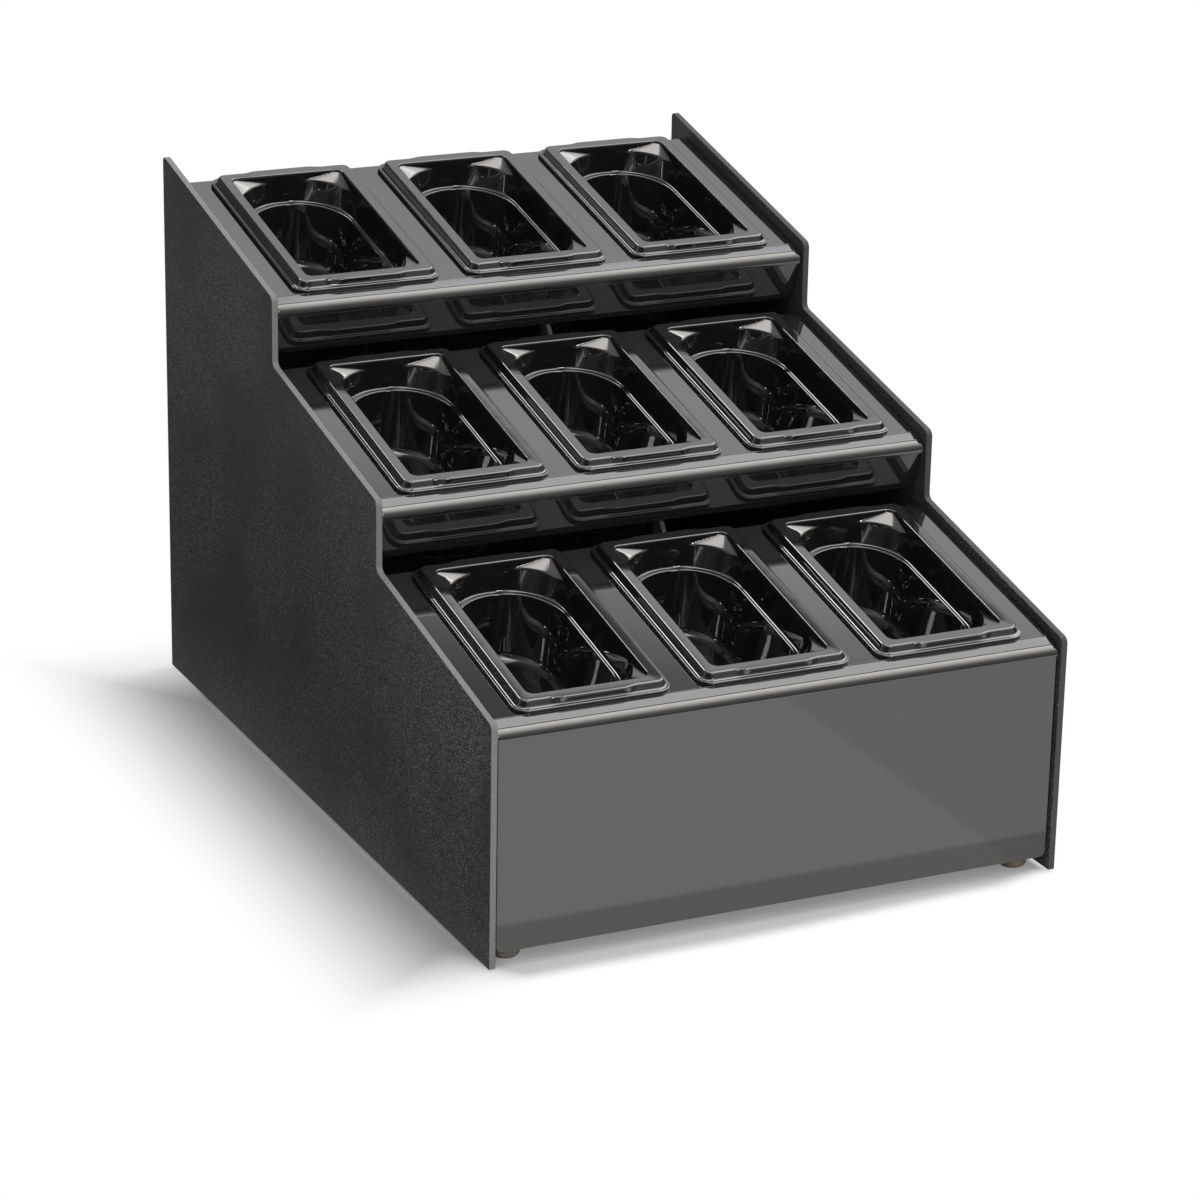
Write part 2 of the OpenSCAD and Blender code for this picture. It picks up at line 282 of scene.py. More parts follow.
# The painted glints go over the sheet's colour, which carries painted light by height.
face_with_painted_light = grained.mix(painted_glints, painted_height_shade, grey(0.85, 0.07))
grained.set(
    base_color=grained.mix(sawn_edge, face_with_painted_light, painted_edge_sheen),
    roughness=sawn_edge.ramp(0, 1, 0.46, 0.34),
    normal=grained.bump(pebbles * (1 - sawn_edge), 0.35 * MM, 0.8),
)
grained.shader.inputs["Specular IOR Level"].default_value = 0.14
print("grained_black has", len(grained.tree.nodes), "nodes")

# %% [markdown]
# The bent decks are the same plastic with a smooth face. They mirror their surroundings, with a
# faint haze and a very slow ripple left by heating and bending. The mirror images are strong,
# even where one sheet mirrors another, so the index of refraction is set higher than that of
# any clear plastic and the surroundings are kept dimmer. A metal would lose the black.

# %% Smooth black for the bent sheets
MIRROR_INDEX = 2.5
smooth = Finish("smooth_black")
haze = smooth.noise(9, 2.0)
ripple = smooth.noise(14, 1.0)
smooth.set(
    base_color=smooth.mix(haze, grey(0.017, 0.04), grey(0.023, 0.04)),
    roughness=haze.ramp(0.3, 0.7, 0.02, 0.035),
    normal=smooth.bump(ripple, 0.2 * MM, 0.2),
)
smooth.shader.inputs["IOR"].default_value = MIRROR_INDEX
print("smooth_black has", len(smooth.tree.nodes), "nodes")

# %% [markdown]
# The pans are moulded, a deeper black than the sheets and about as glossy. Slow waves in their
# surface break the lamps' reflections inside the basins into soft patches.

# %% Polished moulding for the pans
moulded = Finish("moulded_black")
flow = moulded.noise(32, 1.5)
fine_wave = moulded.noise(85, 1.0)
moulded.set(
    base_color=moulded.mix(flow, grey(0.012, 0.02), grey(0.017, 0.02)),
    roughness=flow.ramp(0.3, 0.7, 0.02, 0.045),
    normal=moulded.bump(flow + fine_wave * 0.15, 0.3 * MM, 0.35),
)
moulded.shader.inputs["IOR"].default_value = MIRROR_INDEX
print("moulded_black has", len(moulded.tree.nodes), "nodes")

# %% [markdown]
# The bumper feet are clear rubber that has picked up a little amber. A little under half of the
# shader is transmission and the rest scatters, which reads as cloudy rubber at this small size.

# %% Clear rubber for the feet
bumper = Finish("clear_bumper")
cloud = bumper.noise(160, 1.0)
bumper.set(
    base_color=bumper.mix(cloud, (0.36, 0.31, 0.23, 1), (0.50, 0.45, 0.36, 1)),
    roughness=cloud.ramp(0.3, 0.7, 0.16, 0.28),
)
bumper.shader.inputs["IOR"].default_value = 1.45
bumper.shader.inputs["Transmission Weight"].default_value = 0.45
print("clear_bumper has", len(bumper.tree.nodes), "nodes")

# %% [markdown]
# A pan is a stack of rounded rectangles joined by walls. It could be carved from a block with
# booleans, but that leaves ragged faces at every wall. Here one outline is drawn as a square whose
# corners are bevelled round, and each further ring is extruded from the last and reshaped.
# Every ring keeps the same number of vertices, so the walls between them are clean quads.

# %% Draw an outline and reshape it
CORNER_STEPS = 10
END_STEPS = 27


def rounded_outline(bm, half_x, half_y, corner, height):
    """A flat rounded rectangle with extra vertices along its short ends."""
    square = bmesh.ops.create_grid(bm, x_segments=1, y_segments=1, size=1)["verts"]
    bmesh.ops.scale(bm, verts=square, vec=(half_x, half_y, 1))
    bmesh.ops.translate(bm, verts=square, vec=(0, 0, height))
    bmesh.ops.bevel(bm, geom=square, offset=corner, segments=CORNER_STEPS,
                    affect="VERTICES", profile=0.5, material=-1)
    ends = [e for e in bm.edges if abs(abs(e.verts[0].co.y) - half_y) < 1e-7
            and abs(abs(e.verts[1].co.y) - half_y) < 1e-7]
    bmesh.ops.bisect_edges(bm, edges=ends, cuts=END_STEPS)
    return bm.edges[:]


def reshape(verts, old, new):
    """Moves a ring from one rounded rectangle to another: half sizes, corner radius and height."""
    for vert in verts:
        for axis in (0, 1):
            flat = old[axis] - old[2]
            new_flat = new[axis] - new[2]
            value = vert.co[axis]
            straight = max(-flat, min(flat, value))
            vert.co[axis] = straight * new_flat / flat + (value - straight) * new[2] / old[2]
        vert.co.z = new[3]


def next_ring(bm, edges, old, new):
    """Extrudes a ring and reshapes it; returns the new ring's edges."""
    grown = bmesh.ops.extrude_edge_only(bm, edges=edges)["geom"]
    verts = [g for g in grown if isinstance(g, bmesh.types.BMVert)]
    reshape(verts, old, new)
    return [g for g in grown if isinstance(g, bmesh.types.BMEdge)
            and g.verts[0] in verts and g.verts[1] in verts]


print("an outline has", 4 * (CORNER_STEPS + 1) + 2 * END_STEPS, "vertices")

# %% [markdown]
# The rings of a pan run from the underside of its floor, up the outside, round the lip and the
# raised rim, and down into the basin. Each has half its width and length, its corner radius, its
# height above the lip's underside, the size of its edge's rounding and the steps of that
# rounding. The opening has tight corners but the basin's are wide, which leaves four small
# sloping facets, and a narrow ledge runs round part of the way down.

# %% Rings of a pan
LIP_X, LIP_Y = PAN_WIDTH / 2, PAN_LENGTH / 2
WALL = 2.2 * MM
RIM_INSET = 3 * MM
RIM_X, RIM_Y = LIP_X - RIM_INSET, LIP_Y - RIM_INSET
OPEN_X, OPEN_Y = LIP_X - 12.9 * MM, LIP_Y - 12.2 * MM
UPPER_DRAFT = 1.7 * MM
LEDGE_X, LEDGE_Y = OPEN_X - UPPER_DRAFT, OPEN_Y - UPPER_DRAFT
LEDGE_WIDTH = 3.2 * MM
LOW_X, LOW_Y = LEDGE_X - LEDGE_WIDTH, LEDGE_Y - LEDGE_WIDTH
LOWER_DRAFT = 2.5 * MM
FLOOR_X, FLOOR_Y = LOW_X - LOWER_DRAFT, LOW_Y - LOWER_DRAFT


def ring(half_x, half_y, corner, height, rounding=0.0, steps=3):
    """One ring: half sizes in metres, then corner, height and rounding in millimetres."""
    return (half_x, half_y, corner * MM, height * MM, rounding * MM, steps)


PAN_RINGS = [
    # Outside: floor, lower wall, ledge and upper wall up to the web under the rim
    ring(FLOOR_X + WALL, FLOOR_Y + WALL, 34.2, -65, 8, 6),
    ring(LOW_X + WALL, LOW_Y + WALL, 36.6, -17, 1.2),
    ring(LEDGE_X + WALL, LEDGE_Y + WALL, 36.9, -17, 1.2),
    ring(OPEN_X + 1.6 * MM, OPEN_Y + 1.6 * MM, 26.2, 1.0, 0.4, 1),
    # Under the rim and out to the lip, which is as thick as the walls
    ring(RIM_X - 3 * MM, RIM_Y - 3 * MM, 4.4, 2.4, 0.4, 1),
    ring(RIM_X - 2.2 * MM, RIM_Y - 2.2 * MM, 5, 0, 0.3, 1),
    ring(LIP_X, LIP_Y, 10, 0, 0.5, 2),
    ring(LIP_X, LIP_Y, 10, 2.2, 0.8),
    # The raised rim: foot, top and inner edge
    ring(RIM_X, RIM_Y, 7, 2.2, 1.1, 3),
    ring(RIM_X - 2 * MM, RIM_Y - 2 * MM, 5, 6.8, 1.1, 4),
    ring(OPEN_X + 0.4 * MM, OPEN_Y + 0.4 * MM, 5.4, 6.65, 0.7, 3),
    # The opening and, below its corner facets, the basin down to its floor
    ring(OPEN_X, OPEN_Y, 5, 4.9, 0.35, 2),
    ring(OPEN_X - 0.5 * MM, OPEN_Y - 0.5 * MM, 29, 0.4, 1.0, 3),
    ring(LEDGE_X, LEDGE_Y, 36, -14.8, 1.1, 4),
    ring(LOW_X, LOW_Y, 35.4, -14.8, 0.95, 4),
    ring(FLOOR_X, FLOOR_Y, 33.0, -60.4, 3.2, 5),
    ring(FLOOR_X - 6 * MM, FLOOR_Y - 6 * MM, 27.0, -62.8, 1.2, 3),
]
print("a pan has", len(PAN_RINGS), "rings")

# %% [markdown]
# The raised rim's two short ends bulge outwards a little, over somewhat more than the middle
# half of their length. The extra vertices there are moved by a smooth ramp, so there is no kink.

# %% Build one pan
BOW = 2 * MM
BOW_ABOVE = 3 * MM
BOW_BAND = 3 * MM
BOW_END = 29 * MM
BOW_FADE = 9 * MM


def bow_ends(bm):
    """Pushes the middle of the raised rim's short ends outwards."""
    for vert in bm.verts:
        if vert.co.z > BOW_ABOVE and abs(vert.co.y) > RIM_Y - BOW_BAND:
            t = min(1, max(0, (BOW_END - abs(vert.co.x)) / BOW_FADE))
            vert.co.y += math.copysign(BOW * t * t * (3 - 2 * t), vert.co.y)


def build_pan():
    """A pan in its own place, with the lip's underside at height zero."""
    bm = bmesh.new()
    first = PAN_RINGS[0]
    edges = rounded_outline(bm, *first[:4])
    rings = [edges]
    for old, new in zip(PAN_RINGS, PAN_RINGS[1:]):
        edges = next_ring(bm, edges, old, new)
        rings.append(edges)
    bmesh.ops.contextual_create(bm, geom=edges)
    bow_ends(bm)
    for shape, edges in zip(PAN_RINGS, rings):
        if shape[4]:
            bmesh.ops.bevel(bm, geom=[e for e in edges if e.is_valid],
                            offset=shape[4], segments=shape[5],
                            affect="EDGES", profile=0.5, material=-1, clamp_overlap=True)
    return bm


print("the rim's ends bow by", BOW / MM, "mm")

# %% [markdown]
# The nine pans are the same moulding. Each copy is turned to its deck's slope and moved to its
# cut-out inside its mesh, because a finished piece keeps its object at the origin.

# %% Hang the pans in their decks
LIP_GAP = 0.3 * MM


def deck_place(tier, column, along, up=0.0):
    """A place on a deck: along its slope from the tier's front corner, and up from it."""
    start = corner_of(tier) + Vector((column * PITCH, 0, -drop(tier)))
    return (Matrix.Translation(start) @ Matrix.Rotation(slope(tier), 4, "X")
            @ Matrix.Translation((0, along, up)))


for tier, tier_name in enumerate(TIERS):
    for column, column_name in enumerate(COLUMNS):
        pan = build_pan()
        place = deck_place(tier, column - 1, LIP_SETBACK + PAN_LENGTH / 2, LIP_GAP)
        bmesh.ops.transform(pan, matrix=place, verts=pan.verts[:])
        name = f"pan_{tier_name}_{column_name}"
        finish_piece(pan, name, name, moulded.block)
print("faces in one pan:", made_faces["pan_front_left"])

# %% [markdown]
# A tier is one sheet. Seen from the side it goes deck, crease, narrow strip, crease, then a round
# bead, and a face that starts a step behind the bead. A flat sheet could be bent with a modifier,
# but a drawn side view gives each size exactly. The line is drawn vertex by vertex along the
# outside, with a spin for the bead, and back along the inside to close it.

# %% Sizes of a bent sheet
SHEET = 3 * MM
SIDE_GAP = 1.6 * MM
SHEET_HALF = INNER_HALF - SIDE_GAP
BEAD_R = 6.4 * MM
BEAD_FRONT = 2 * MM
BEAD_LAP = math.radians(9)
STRIP_RUN = 8.4 * MM
STRIP_SLOPE = math.radians(20)
STEP_BACK = 1 * MM
RISER_LEAN = math.radians(19)
CREASE = 0.35 * MM
CREASE_DEPTH = 0.9 * MM
STRIP_TOP_Y = BEAD_FRONT + BEAD_R * (1 - math.sin(STRIP_SLOPE)) + STRIP_RUN
STRIP_LINE = Vector((0, -math.cos(STRIP_SLOPE), -math.sin(STRIP_SLOPE)))
BACK_FLANGE = 22 * MM
FACE_BOTTOM = 9 * MM
SLOT_HEIGHT = 9.3 * MM
RISER_DROP = TIER_RISE - TIER_DEPTH * math.tan(SLOPE) + DECK_DROP - SLOT_HEIGHT


def strip_top(tier):
    """The crease between a tier's deck and its strip, from the tier's corner."""
    return Vector((0, STRIP_TOP_Y, STRIP_TOP_Y * math.tan(slope(tier)) - drop(tier)))


def bead_top(tier):
    """The crease between a tier's strip and its bead."""
    return strip_top(tier) + STRIP_LINE * (STRIP_RUN / math.cos(STRIP_SLOPE))


def bead_centre(tier):
    """The middle of a tier's bead."""
    return bead_top(tier) + Vector((0, math.sin(STRIP_SLOPE), -math.cos(STRIP_SLOPE))) * BEAD_R


print("beads are centred at", [tuple(round(c, 4) for c in bead_centre(t)) for t in range(3)])

# %% [markdown]
# Two small helpers carry a line on from its last vertex, straight or round a bend. The side view
# then reads like the path of a finger round the sheet's edge.

# %% Carry a line on
ARC_STEPS = 16


def add_point(bm, last, point):
    """Carries the line on to another point."""
    grown = bmesh.ops.extrude_vert_indiv(bm, verts=[last])["verts"][0]
    grown.co = point
    return grown


def add_arc(bm, last, centre, angle):
    """Carries the line round a centre and returns both ends of the arc."""
    arc = bmesh.ops.spin(bm, geom=[last], cent=centre, axis=(1, 0, 0), angle=angle,
                         steps=ARC_STEPS, use_merge=False)["geom_last"]
    return last, [g for g in arc if isinstance(g, bmesh.types.BMVert)][0]


print("an arc has", ARC_STEPS, "steps")

# %% [markdown]
# The front sheet's face hangs straight down to near the counter, the other two risers lean, and
# the top sheet also has a flange down its back. At the end two cuts are made across the side
# view, one on each side of the bead, so that the bead keeps end faces of its own.

# %% Draw the side view
def side_view(tier):
    """The closed side view of a tier's sheet, at the middle of the stand."""
    lean = RISER_LEAN if tier else 0.0
    low = -RISER_DROP if tier else FACE_BOTTOM - FRONT_HEIGHT
    out = Vector((0, -math.cos(lean), -math.sin(lean)))
    turn = math.radians(90) - STRIP_SLOPE + lean
    start_turn = CREASE / BEAD_R
    deck_line = Vector((0, math.cos(slope(tier)), math.sin(slope(tier))))
    deck_up = Vector((0, -math.sin(slope(tier)), math.cos(slope(tier))))
    deck_back = Vector((0, DECK_RUN, DECK_RUN * math.tan(SLOPE) - DECK_DROP))
    deck_end = deck_back - deck_up * SHEET
    bm = bmesh.new()
    if tier == 2:
        flange_end = (0, deck_end.y, deck_back.z - BACK_FLANGE)
        first = bmesh.ops.create_vert(bm, co=flange_end)["vert"][0]
        last = add_point(bm, first, deck_end)
        last = add_point(bm, last, deck_back)
    else:
        first = last = bmesh.ops.create_vert(bm, co=deck_back)["vert"][0]
    top, low_crease, centre = strip_top(tier), bead_top(tier), bead_centre(tier)
    last = add_point(bm, last, top + deck_line * CREASE)
    last = add_point(bm, last, top - Vector((0, 0, CREASE_DEPTH)))
    last = add_point(bm, last, top + STRIP_LINE * CREASE)
    last = add_point(bm, last, low_crease - STRIP_LINE * CREASE)
    last = add_point(bm, last, low_crease - Vector((0, 0, CREASE_DEPTH)))
    outward = Matrix.Rotation(start_turn, 3, "X") @ (low_crease - centre)
    last = add_point(bm, last, centre + outward)
    outer_start, last = add_arc(bm, last, centre, turn + BEAD_LAP - start_turn)
    inward = (last.co - centre).normalized() * (BEAD_R - STEP_BACK) / math.cos(BEAD_LAP)
    last = step = add_point(bm, last, centre + inward)
    face_top = centre + out * (BEAD_R - STEP_BACK)
    fall = face_top.z - low
    last = add_point(bm, last, face_top + Vector((0, fall * math.tan(lean), -fall)))
    last = add_point(bm, last, last.co - out * SHEET)
    last = add_point(bm, last, centre + out * (BEAD_R - STEP_BACK - SHEET))
    inner_end, inner_start = add_arc(bm, last, centre, start_turn - turn)
    last = add_point(bm, inner_start, top - deck_up * SHEET)
    if tier == 2:
        under = deck_end - deck_line * (SHEET / deck_line.y)
        last = add_point(bm, last, under)
        last = add_point(bm, last, Vector((0, under.y, deck_back.z - BACK_FLANGE)))
    else:
        last = add_point(bm, last, deck_end)
    bmesh.ops.contextual_create(bm, geom=[last, first])
    bmesh.ops.contextual_create(bm, geom=bm.edges[:])
    bmesh.ops.connect_verts(bm, verts=[outer_start, inner_start])
    bmesh.ops.connect_verts(bm, verts=[step, inner_end])
    return bm


print("a riser drops by", round(RISER_DROP / MM, 1), "mm")

# %% [markdown]
# The openings for the pans go right through a sheet, so they are taken out with rounded blocks
# and an exact boolean. Each opening is a little larger than the inside of a pan's rim and is
# hidden under its lip.

# %% Cut-outs for the pans
CUT_MARGIN = 4 * MM
CUT_X, CUT_Y = OPEN_X + CUT_MARGIN, OPEN_Y + CUT_MARGIN
CUT_ROUND = 9 * MM
CUT_REACH = 9 * MM


def cutter(tier, column):
    """A rounded block through a deck where a pan hangs."""
    bm = bmesh.new()
    rounded_outline(bm, CUT_X, CUT_Y, CUT_ROUND, -CUT_REACH)
    top = bmesh.ops.extrude_face_region(bm, geom=bm.faces[:])["geom"]
    bmesh.ops.translate(bm, verts=[g for g in top if isinstance(g, bmesh.types.BMVert)],
                        vec=(0, 0, 2 * CUT_REACH))
    bmesh.ops.transform(bm, verts=bm.verts[:],
                        matrix=deck_place(tier, column - 1, LIP_SETBACK + PAN_LENGTH / 2))
    bmesh.ops.recalc_face_normals(bm, faces=bm.faces[:])
    mesh = bpy.data.meshes.new("cutter")
    bm.to_mesh(mesh)
    bm.free()
    block = bpy.data.objects.new("cutter", mesh)
    bpy.context.scene.collection.objects.link(block)
    return block


def cut_away(bm, blocks):
    """Cuts blocks out of a bmesh and returns what is left as a new bmesh."""
    mesh = bpy.data.meshes.new("uncut")
    bm.to_mesh(mesh)
    bm.free()
    sheet = bpy.data.objects.new("uncut", mesh)
    bpy.context.scene.collection.objects.link(sheet)
    for block in blocks:
        cut = sheet.modifiers.new("cut", "BOOLEAN")
        cut.object = block
        cut.operation = "DIFFERENCE"
        cut.solver = "EXACT"
    graph = bpy.context.evaluated_depsgraph_get()
    left = bpy.data.meshes.new_from_object(sheet.evaluated_get(graph))
    result = bmesh.new()
    result.from_mesh(left)
    for spent in [sheet, *blocks]:
        bpy.data.objects.remove(spent)
    return result


print("a cut-out measures", round(2 * CUT_X / MM, 1), "by", round(2 * CUT_Y / MM, 1), "mm")

# %% [markdown]
# The side view is pulled out sideways into the sheet. The bead is a touch longer than the rest,
# as bending a sheet can leave it, so its two end faces are pulled out a little more. Only the
# front sheet has a tall face, whose two lower corners are rounded with a bevel.

# %% Build the three tiers
BEAD_BULGE = 0.8 * MM
FACE_ROUND = 4 * MM
TOUCH = 0.01 * MM


def on_bead(face, centre):
    """Whether a side face of the sheet belongs to the bead."""
    return max((Vector((centre.x, *v.co.yz)) - centre).length for v in face.verts) < BEAD_R + TOUCH


def build_tier(tier):
    """Pulls out, bulges and cuts one tier's sheet."""
    bm = side_view(tier)
    bmesh.ops.translate(bm, verts=bm.verts[:], vec=corner_of(tier) - Vector((SHEET_HALF, 0, 0)))
    pulled = bmesh.ops.extrude_face_region(bm, geom=bm.faces[:])["geom"]
    bmesh.ops.translate(bm, verts=[g for g in pulled if isinstance(g, bmesh.types.BMVert)],
                        vec=(2 * SHEET_HALF, 0, 0))
    bmesh.ops.recalc_face_normals(bm, faces=bm.faces[:])
    centre = corner_of(tier) + bead_centre(tier)
    for side in (-1, 1):
        ends = [f for f in bm.faces if f.normal.x * side > 0.99 and on_bead(f, centre)]
        bulge = bmesh.ops.extrude_discrete_faces(bm, faces=ends)["faces"]
        bmesh.ops.translate(bm, verts=[v for f in bulge for v in f.verts],
                            vec=(side * BEAD_BULGE, 0, 0))
    if tier == 0:
        bottom = min(v.co.z for v in bm.verts)
        corners = [e for e in bm.edges if all(abs(v.co.z - bottom) < 1e-6 for v in e.verts)
                   and abs(e.verts[0].co.x - e.verts[1].co.x) < 1e-6]
        bmesh.ops.bevel(bm, geom=corners, offset=FACE_ROUND, segments=6,
                        affect="EDGES", profile=0.5, material=-1)
    bmesh.ops.recalc_face_normals(bm, faces=bm.faces[:])
    return cut_away(bm, [cutter(tier, column) for column in range(3)])


for tier, tier_name in enumerate(TIERS):
    finish_piece(build_tier(tier), f"tier_sheet_{tier_name}", "stand",
                 smooth.block, bevel=0.25 * MM)
print("faces in the front tier:", made_faces["tier_sheet_front"])

# %% [markdown]
# A side panel is one stepped outline cut from sheet. A stack of boxes would leave seams across
# its flat faces, so eight points make one outline, a vertex bevel rounds all its corners but the
# two at the bottom, and pulling it sideways gives the thickness.

# %% Build the side panels
PANEL_ROUND = 4 * MM


def build_panel(side):
    """A stepped side panel; side is -1 on the left and 1 on the right."""
    rise = TIER_DEPTH * math.tan(SLOPE)
    points = [
        (0, 0), (0, FRONT_HEIGHT),
        (TIER_DEPTH, FRONT_HEIGHT + rise), (TIER_DEPTH, FRONT_HEIGHT + TIER_RISE),
        (2 * TIER_DEPTH, FRONT_HEIGHT + TIER_RISE + rise),
        (2 * TIER_DEPTH, FRONT_HEIGHT + 2 * TIER_RISE),
        (DEPTH, PEAK), (DEPTH, 0),
    ]
    bm = bmesh.new()
    corners = [bm.verts.new((side * WIDTH / 2, y - DEPTH / 2, z + FOOT_LIFT))
               for y, z in points]
    bm.faces.new(corners)
    bmesh.ops.bevel(bm, geom=corners[1:7], offset=PANEL_ROUND, segments=6,
                    affect="VERTICES", profile=0.5, material=-1)
    pulled = bmesh.ops.extrude_face_region(bm, geom=bm.faces[:])["geom"]
    bmesh.ops.translate(bm, verts=[g for g in pulled if isinstance(g, bmesh.types.BMVert)],
                        vec=(-side * PANEL, 0, 0))
    return bm


for side, side_name in ((-1, "left"), (1, "right")):
    finish_piece(build_panel(side), f"side_panel_{side_name}", "stand",
                 grained.block, bevel=0.35 * MM)
print("faces in a side panel:", made_faces["side_panel_left"])

# %% [markdown]
# A bumper foot is a turned shape, so half its outline is spun once round an upright axis. Its
# size and place are read from the solid that it stands for.

# %% Build the feet
TOE_SHARE = 0.4


def build_foot(node):
    """A domed bumper, spun about the middle of the node it stands for."""
    low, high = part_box(node)
    middle = (low + high) / 2
    radius = (high.x - low.x) / 2
    toe = TOE_SHARE * radius
    bm = bmesh.new()
    last = bmesh.ops.create_vert(bm, co=(0, 0, 0))["vert"][0]
    last = add_point(bm, last, Vector((radius - toe, 0, 0)))
    arc = bmesh.ops.spin(bm, geom=[last], cent=(radius - toe, 0, toe), axis=(0, -1, 0),
                         angle=math.pi / 2, steps=6, use_merge=False)["geom_last"]
    last = [g for g in arc if isinstance(g, bmesh.types.BMVert)][0]
    last = add_point(bm, last, Vector((radius, 0, high.z)))
    add_point(bm, last, Vector((0, 0, high.z)))
    bmesh.ops.spin(bm, geom=bm.edges[:] + bm.verts[:], cent=(0, 0, 0), axis=(0, 0, 1),
                   angle=2 * math.pi, steps=40, use_merge=True)
    bmesh.ops.remove_doubles(bm, verts=bm.verts[:], dist=1e-6)
    bmesh.ops.translate(bm, verts=bm.verts[:], vec=(middle.x, middle.y, 0))
    return bm


for end in ("front", "back"):
    for side_name in ("left", "right"):
        node = f"foot_{end}_{side_name}"
        finish_piece(build_foot(node), node, "stand", bumper.block)
print("faces in a foot:", made_faces["foot_front_left"])

# %% [markdown]
# The angles, rails, gussets and back panel keep their plain solids and share the grained sheet's
# finish. From the front nearly all of them are hidden.

# %% Finish the plain fittings
for name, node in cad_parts.items():
    node.data.materials.clear()
    node.data.materials.append(grained.block)
print("plain solids finished:", len(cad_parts) - len(made_faces))

# %% [markdown]
# The stand is shown on a pale floor that turns to pure white away from it, as a studio sweep
# does. Near the stand the floor is plain diffuse, so that it takes the shadow. A Mix Shader fades
# it into a white glow, by distances from the stand's four sides.

# %% Lay the floor
FLOOR_RADIUS = 30
floor_mesh = bpy.data.meshes.new("floor")
floor_bm = bmesh.new()
bmesh.ops.create_circle(floor_bm, cap_ends=True, radius=FLOOR_RADIUS, segments=64)
floor_bm.to_mesh(floor_mesh)
floor_bm.free()
floor = bpy.data.objects.new("floor", floor_mesh)
bpy.context.scene.collection.objects.link(floor)
print("floor laid,", 2 * FLOOR_RADIUS, "m across")

# %% [markdown]
# Camera rays see the shadow fade out by smooth steps, furthest out on the left. In front the fade
# sets in closer to the face towards the right. A fifth of the white stays even where the shadow
# is darkest, except on the far left, and that fifth also shows on the floor inside the stand.
# Glossy rays see a plain glow instead, because the sheets would otherwise show the floor too
# bright. It falls off to the left and well in front, as where a table ends. It is dimmer close
# before the face, a painted shadow for the front face to mirror, and dimmer on the right.

# %% Finish the floor
WHITE_IN_SHADOW = 0.20
MIRRORED_LEVEL = 0.62
sweep = Finish("studio_floor")
sweep.set(base_color=grey(0.88), roughness=0.9)
sweep.shader.inputs["Specular IOR Level"].default_value = 0.0
camera_ray = sweep.node("ShaderNodeLightPath", output="Is Camera Ray")
glossy_ray = sweep.node("ShaderNodeLightPath", output="Is Glossy Ray")
clear_ray = sweep.node("ShaderNodeLightPath", output="Is Transmission Ray")
floor_x, floor_y = sweep.axis("X"), sweep.axis("Y")
to_left = 0 - floor_x - WIDTH / 2
to_right = floor_x - WIDTH / 2
in_front = 0 - floor_y - DEPTH / 2
behind = floor_y - DEPTH / 2
past_corner = (0 - floor_x).ramp(0.18, 0.22)
nearer = floor_x.ramp(-0.06, 0.16, 0.0, 0.009) + floor_x.ramp(0.15, 0.2, 0.0, 0.010)
fade_start = 0.0065 - nearer - 0.0665 * past_corner
fade_end = 0.0250 - nearer + 0.013 * past_corner
sides = sweep.maths("MAXIMUM", to_left.ramp(-0.012, 0.125), to_right.ramp(-0.012, 0.003))
shadow_white = WHITE_IN_SHADOW * (1 - past_corner)
ends = sweep.maths("MAXIMUM", in_front.ramp(fade_start, fade_end, shadow_white),
                   behind.ramp(-0.10, 0.08))
away = sweep.maths("MAXIMUM", sides, ends)
under = (abs(floor_x) < WIDTH / 2) * (abs(floor_y) < DEPTH / 2)
mirrored_floor = floor_x.ramp(-0.26, -0.205, 0.12, 1.0) * floor_y.ramp(-0.682, -0.652, 0.2, 1.0)
# Painted shadow for the sheets to mirror: the glow is dimmer within about 55 mm before the face.
mirrored_floor = mirrored_floor * MIRRORED_LEVEL * in_front.ramp(0.050, 0.060, 0.68, 1.0)
mirrored_floor = mirrored_floor * floor_x.ramp(0.182, 0.194, 1.04, 0.9)
tint = sweep.mix(glossy_ray, (1, 1, 1, 1), (1.01, 1, 0.965, 1))
fade = away * (camera_ray + clear_ray) + glossy_ray * (1 - under)
level = glossy_ray * mirrored_floor + (1 - glossy_ray)
white = sweep.node("ShaderNodeEmission", None, {"Color": tint, "Strength": level})
plain = Wire(sweep, sweep.shader.outputs[0])
floor_look = sweep.node("ShaderNodeMixShader", None, {0: fade, 1: plain, 2: white})
sweep.feed(sweep.tree.nodes["Material Output"].inputs["Surface"], floor_look)
floor_mesh.materials.append(sweep.block)
print("studio_floor has", len(sweep.tree.nodes), "nodes")

# %% [markdown]
# The sheets show what they mirror, so their look is mostly a matter of what surrounds the stand.
# Behind it a pale wall reaches up to about forty-six degrees, higher towards the right, and a
# dark gap follows. Over the stand hangs a wide soft panel, split by a narrow darker band. Three
# round lamps give the small bright spots. All of this is painted on the world for glossy rays
# only. Matt surfaces get a grey that is dimmer from the left and behind, and the camera sees white.

# %% The world and its directions
world = bpy.data.worlds.new("studio")
bpy.context.scene.world = world
studio = Finish("studio", world)
sky = studio.tree.nodes["Background"]
direction = studio.node("ShaderNodeTexCoord", output="Generated")
east, north, height = (studio.node("ShaderNodeSeparateXYZ", None, {0: direction}, axis)
                       for axis in "XYZ")
seen = studio.node("ShaderNodeLightPath", output="Is Camera Ray")
mirrored = studio.node("ShaderNodeLightPath", output="Is Glossy Ray")
lift = studio.maths("ARCTAN2", height, north) * (180 / math.pi)
print("the world's directions take", len(studio.tree.nodes), "nodes")


